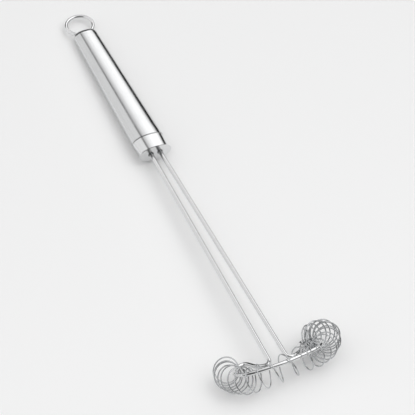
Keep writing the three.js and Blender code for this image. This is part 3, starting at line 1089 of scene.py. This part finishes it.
class WHISK_OT_coil_spring(bpy.types.Operator):
    """Winds the coil spring round the front of the head and both of its lobes."""

    bl_idname = "whisk.coil_spring"
    bl_label = "Coil spring"

    def execute(self, context):
        s = settings().spring
        thin = steel("spring_steel", settings().finishes.spring, along_wire=True)
        matrix = tool_matrix()
        turned = matrix.to_3x3()
        rows = coil_points()
        line = line_object("coil_spring", [matrix @ row["place"] for row in rows])
        for name in ("turn", "swell"):
            values = line.data.attributes.new(name, "FLOAT", "POINT")
            values.data.foreach_set("value", [row[name] for row in rows])
        for name in ("along", "inwards"):
            values = line.data.attributes.new(name, "FLOAT_VECTOR", "POINT")
            flat = [number for row in rows for number in turned @ row[name]]
            values.data.foreach_set("vector", flat)
        piece = grow(
            line,
            shared_group("Coil round a line", "GeometryNodeTree", fill_coil_tree),
            {"Diameter": s.wire, "Sides": s.sides, "Coil radius": s.radius, "Material": thin},
        )
        dress(piece, "whisk_spring")
        return {"FINISHED"}


class WHISK_OT_plugs(bpy.types.Operator):
    """Gives both plugs inside the handle their plastic."""

    bl_idname = "whisk.plugs"
    bl_label = "Plugs"

    def execute(self, context):
        plastic = plug_plastic("plug_plastic", settings().finishes.plug)
        for name in ("wire_plug", "tail_plug"):
            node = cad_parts[name]
            node.data.materials.clear()
            node.data.materials.append(plastic)
        return {"FINISHED"}


class WHISK_OT_stage(bpy.types.Operator):
    """Sets up the floor, the room's light, the lamp and the camera."""

    bl_idname = "whisk.stage"
    bl_label = "Stage"

    def execute(self, context):
        make_floor()
        make_world()
        make_lamp()
        make_camera()
        context.scene.view_settings.view_transform = "Standard"
        return {"FINISHED"}


# Stage


def make_floor():
    half = 4.0
    corners = [(-half, -half, 0), (half, -half, 0), (half, half, 0), (-half, half, 0)]
    mesh = bpy.data.meshes.new("floor")
    mesh.from_pydata(corners, [], [(0, 1, 2, 3)])
    material, _, shader = new_material("floor_paper")
    shader.inputs["Base Color"].default_value = (*settings().stage.floor, 1)
    shader.inputs["Roughness"].default_value = 0.9
    shader.inputs["Specular IOR Level"].default_value = 0.1
    mesh.materials.append(material)
    add_object("floor", mesh)


# Brightness of the room by the angle round the tool, in degrees: 0 is straight up, -90 is level on
# the side of -Y and 90 is level on the side of +Y
SURROUNDINGS = (
    (-180, 0.6),
    (-95, 0.55),
    (-70, 0.58),
    (-8, 0.58),
    (-6, 0.16),
    (-1, 0.16),
    (2, 0.45),
    (24, 0.93),
    (34, 0.98),
    (44, 0.92),
    (56, 0.62),
    (64, 0.5),
    (180, 0.6),
)
# Dark parts of the room, as cones round a way. reach is the cosine of a cone's half angle, edge and
# top are the heights where its upper side starts and ends to fade, as sines, and light is the share
# of the room's light that still comes from it.
DARK_PARTS = (
    {"way": (0.0, 1.0, 0.0), "reach": 0.35, "edge": 0.3, "top": 0.42, "light": 0.03},
    {"way": (1.0, 0.0, 0.0), "reach": 0.55, "edge": 0.5, "top": 0.64, "light": 0.25},
    {"way": (-1.0, 0.0, 0.0), "reach": 0.82, "edge": 0.5, "top": 0.6, "light": 0.03},
    {"way": (0.74, -0.25, 0.63), "reach": 0.82, "edge": 0.9, "top": 1.0, "light": 0.25},
)
# Width of the fade round a cone, in its cosine
DARK_FADE = 0.05


def light_past(tree, direction, height, way, reach, edge, top, light):
    """The share of the light that a dark part of the room leaves in each direction."""
    nearness = vector_math(tree, "DOT_PRODUCT", direction, way)
    towards = map_range(tree, nearness, reach - DARK_FADE, reach, step="SMOOTHSTEP")
    low = map_range(tree, height, top, edge, step="SMOOTHSTEP")
    dark = math_node(tree, "MULTIPLY", towards, low)
    return math_node(tree, "SUBTRACT", 1.0, math_node(tree, "MULTIPLY", dark, 1 - light))


def make_world():
    stage = settings().stage
    world = bpy.data.worlds.new("studio")
    bpy.context.scene.world = world
    world.use_nodes = True
    tree = world.node_tree
    tree.nodes.clear()
    direction = add_node(tree, "ShaderNodeTexCoord").outputs["Generated"]
    parts = add_node(tree, "ShaderNodeSeparateXYZ", {0: direction})
    angle = math_node(tree, "ARCTAN2", parts.outputs["Y"], parts.outputs["Z"])
    place = map_range(tree, angle, -math.pi, math.pi)
    ramp = add_node(tree, "ShaderNodeValToRGB", {"Fac": place})
    stops = ramp.color_ramp.elements
    while len(stops) > 1:
        stops.remove(stops[0])
    for i, (degrees, value) in enumerate(SURROUNDINGS):
        at = (degrees + 180) / 360
        stop = stops[0] if i == 0 else stops.new(at)
        stop.position = at
        stop.color = (value, value, value, 1)
    strength = stage.sky
    for part in DARK_PARTS:
        left = light_past(tree, direction, parts.outputs["Z"], **part)
        strength = math_node(tree, "MULTIPLY", left, strength)
    seen = add_node(tree, "ShaderNodeBackground", {"Color": (*stage.background, 1)})
    light = add_node(
        tree, "ShaderNodeBackground", {"Color": ramp.outputs["Color"], "Strength": strength}
    )
    path = add_node(tree, "ShaderNodeLightPath")
    chosen = add_node(
        tree,
        "ShaderNodeMixShader",
        {0: path.outputs["Is Camera Ray"], 1: light.outputs[0], 2: seen.outputs[0]},
    )
    add_node(tree, "ShaderNodeOutputWorld", {"Surface": chosen.outputs[0]})


def make_lamp():
    stage = settings().stage
    towards = Vector((0.4, 0.05, 0.9)).normalized()
    lamp = bpy.data.lights.new("key", "AREA")
    lamp.size = stage.lamp_side
    lamp.energy = stage.lamp_power
    key = add_object("key", lamp)
    key.location = tool_matrix().translation + towards * stage.lamp_distance
    key.rotation_euler = towards.to_track_quat("Z", "Y").to_euler()
    key.visible_camera = False
    key.visible_glossy = False


def make_camera():
    stage = settings().stage
    data = bpy.data.cameras.new("camera")
    data.lens = stage.lens
    data.sensor_width = 36
    data.clip_start = 0.05
    data.clip_end = 50
    camera = add_object("camera", data)
    turned = (
        Matrix.Rotation(stage.azimuth, 3, "Z")
        @ Matrix.Rotation(math.pi / 2 - stage.elevation, 3, "X")
        @ Matrix.Rotation(stage.roll, 3, "Z")
    )
    camera.matrix_world = (
        Matrix.Translation(tool_matrix().translation + Vector(stage.camera_offset))
        @ turned.to_4x4()
    )
    bpy.context.scene.camera = camera


class WHISK_PT_sidebar(bpy.types.Panel):
    """Lists the settings and the pieces of the whisk."""

    bl_idname = "WHISK_PT_sidebar"
    bl_label = "Spiral whisk"
    bl_space_type = "VIEW_3D"
    bl_region_type = "UI"
    bl_category = "Whisk"

    def draw(self, context):
        whisk = context.scene.whisk
        for part in whisk.__annotations__:
            group = getattr(whisk, part)
            box = self.layout.box()
            for name in group.__annotations__:
                box.prop(group, name)
        for operator in OPERATORS:
            self.layout.operator(operator.bl_idname)


SETTING_GROUPS = (
    WhiskHandleSizes,
    WhiskRingSizes,
    WhiskFrameWireSizes,
    WhiskSpringSizes,
    WhiskFinishes,
    WhiskStageSettings,
    WhiskSettings,
)
OPERATORS = (
    WHISK_OT_handle_tube,
    WHISK_OT_front_cap,
    WHISK_OT_hanging_ring,
    WHISK_OT_frame_wire,
    WHISK_OT_coil_spring,
    WHISK_OT_plugs,
    WHISK_OT_stage,
)
CLASSES = (*SETTING_GROUPS, *OPERATORS, WHISK_PT_sidebar)


def register():
    for item in CLASSES:
        bpy.utils.register_class(item)
    bpy.types.Scene.whisk = PointerProperty(type=WhiskSettings)


def unregister():
    del bpy.types.Scene.whisk
    for item in reversed(CLASSES):
        bpy.utils.unregister_class(item)


def main():
    register()
    bpy.ops.whisk.handle_tube()
    bpy.ops.whisk.front_cap()
    bpy.ops.whisk.hanging_ring()
    bpy.ops.whisk.frame_wire()
    bpy.ops.whisk.coil_spring()
    bpy.ops.whisk.plugs()
    bpy.ops.whisk.stage()


if __name__ == "__main__":
    main()
